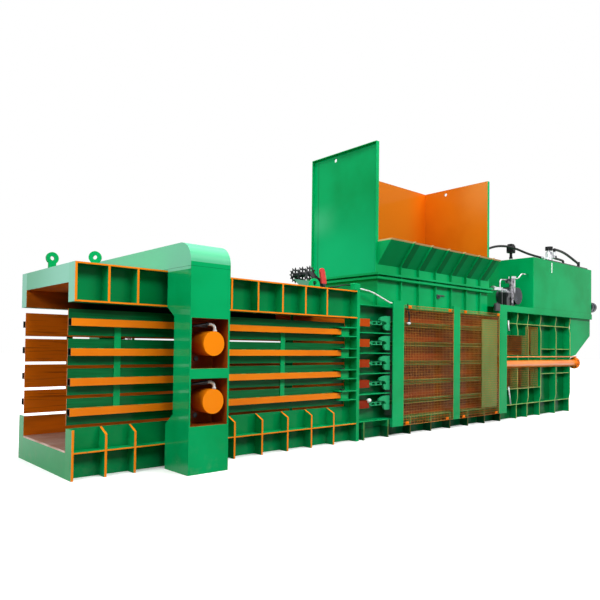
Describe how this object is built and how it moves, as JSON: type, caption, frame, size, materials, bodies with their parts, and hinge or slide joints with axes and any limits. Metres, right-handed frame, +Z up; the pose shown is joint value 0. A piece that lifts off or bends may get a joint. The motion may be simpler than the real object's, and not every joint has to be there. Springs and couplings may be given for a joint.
{
  "type": "recycling baler",
  "caption": "Horizontal channel baler with a hinged-side bale channel, tension yoke, side wire threading behind mesh guards, hopper, ram and oil tank.",
  "frame": {"origin": "On the floor, in the middle of the footprint, below the bale channel centre line.", "axes": "+Z is up. +X runs along the machine from the bale exit to the oil tank. The wire threading side faces -Y."},
  "size_m": [10.24, 2.144, 3.73],
  "materials": {
    "green_paint": "gloss enamel on welded plate",
    "light_green_paint": "gloss enamel, paler",
    "orange_paint": "gloss enamel",
    "hopper_orange": "semi-gloss enamel",
    "ram_paint": "worn brown-orange enamel",
    "worn_steel": "bare plate, scuffed",
    "dark_steel": "satin black",
    "chrome": "hard chrome",
    "cast_grey": "cast, satin",
    "dark_trim": "dark seal and sight glass",
    "black_plastic": "moulded",
    "white_plastic": "moulded conduit",
    "hose_rubber": "smooth rubber cover"
  },
  "bodies": {
    "frame": {"base_bed": "green_paint", "floor_plate": "worn_steel", "near_base_side": "green_paint", "far_base_side": "green_paint", "channel_roof": "green_paint", "near_top_side": "green_paint", "far_top_side": "green_paint", "portal_frame": "green_paint", "lifting_eyes": "cast_grey", "tension_yoke": "green_paint", "press_barrels": "orange_paint", "press_elbows": "dark_steel", "hinge_lugs": "green_paint", "hinge_pins": "dark_steel", "near_body_side": "green_paint", "near_rear_side": "green_paint", "far_body_side": "green_paint", "body_roof": "green_paint", "rear_end_plate": "light_green_paint", "needle_blocks": "orange_paint", "needle_chains": "green_paint", "needle_guides": "green_paint", "needle_rails": "green_paint", "guard_posts": "green_paint", "mesh_guards": "orange_paint", "side_barrel": "orange_paint", "window_mesh": "orange_paint", "main_barrel": "orange_paint", "hopper_left_panel": "green_paint", "hopper_right_panel": "hopper_orange", "hopper_far_panel": "hopper_orange", "hopper_lip": "green_paint", "hopper_neck": "green_paint", "oil_tank": "green_paint", "tank_support": "green_paint", "tank_trim": "dark_trim", "tank_fittings": "cast_grey", "electric_motors": "dark_steel", "pump_set": "cast_grey", "wheel_bracket": "dark_steel", "junction_box": "green_paint", "sensors": "black_plastic", "conduit": "white_plastic", "hose_a": "hose_rubber", "hose_b": "hose_rubber", "guard_cable": "hose_rubber"},
    "ram": {"ram_platen": "ram_paint", "ram_rod": "chrome"},
    "near_door": {"near_door_panels": "green_paint", "near_door_tubes": "orange_paint"},
    "far_door": {"far_door_panels": "green_paint", "far_door_tubes": "orange_paint"},
    "near_press": {"near_press_rods": "chrome"},
    "far_press": {"far_press_rods": "chrome"},
    "carriage": {"needle_carriage": "green_paint", "carriage_rod": "chrome"},
    "wheel_fork": {"wheel_arm": "dark_steel"},
    "length_wheel": {"measuring_wheel": "dark_steel"},
    "hand_lever": {"pump_lever": "chrome"}
  },
  "joints": [
    {"name": "ram_slide", "type": "slide", "parent": "frame", "child": "ram", "axis": [-1, 0, 0], "range_m": [0, 2.57]},
    {"name": "near_door_hinge", "type": "hinge", "parent": "frame", "child": "near_door", "pos_m": [-1.89, -0.589, 0.925], "axis": [0, 0, -1], "range_deg": [0, 2.5]},
    {"name": "far_door_hinge", "type": "hinge", "parent": "frame", "child": "far_door", "pos_m": [-1.89, 0.589, 0.925], "axis": [0, 0, 1], "range_deg": [0, 2.5]},
    {"name": "near_press_slide", "type": "slide", "parent": "frame", "child": "near_press", "axis": [0, 1, 0], "range_m": [0, 0.0925]},
    {"name": "far_press_slide", "type": "slide", "parent": "frame", "child": "far_press", "axis": [0, -1, 0], "range_m": [0, 0.0925]},
    {"name": "carriage_slide", "type": "slide", "parent": "frame", "child": "carriage", "axis": [-1, 0, 0], "range_m": [0, 1.8]},
    {"name": "fork_hinge", "type": "hinge", "parent": "frame", "child": "wheel_fork", "pos_m": [-2.01, -0.175, 1.895], "axis": [0, -1, 0], "range_deg": [0, 100]},
    {"name": "wheel_spin", "type": "hinge", "parent": "wheel_fork", "child": "length_wheel", "pos_m": [-2.177, -0.175, 1.991], "axis": [0, 1, 0], "continuous": true},
    {"name": "lever_turn", "type": "hinge", "parent": "frame", "child": "hand_lever", "pos_m": [2.01, -0.62, 2.265], "axis": [0, 0, 1], "range_deg": [0, 90]}
  ],
  "couplings": [
    {"joint": "near_press_slide", "follows": "near_door_hinge", "m_per_rad": 2.118},
    {"joint": "far_press_slide", "follows": "far_door_hinge", "m_per_rad": 2.118}
  ]
}
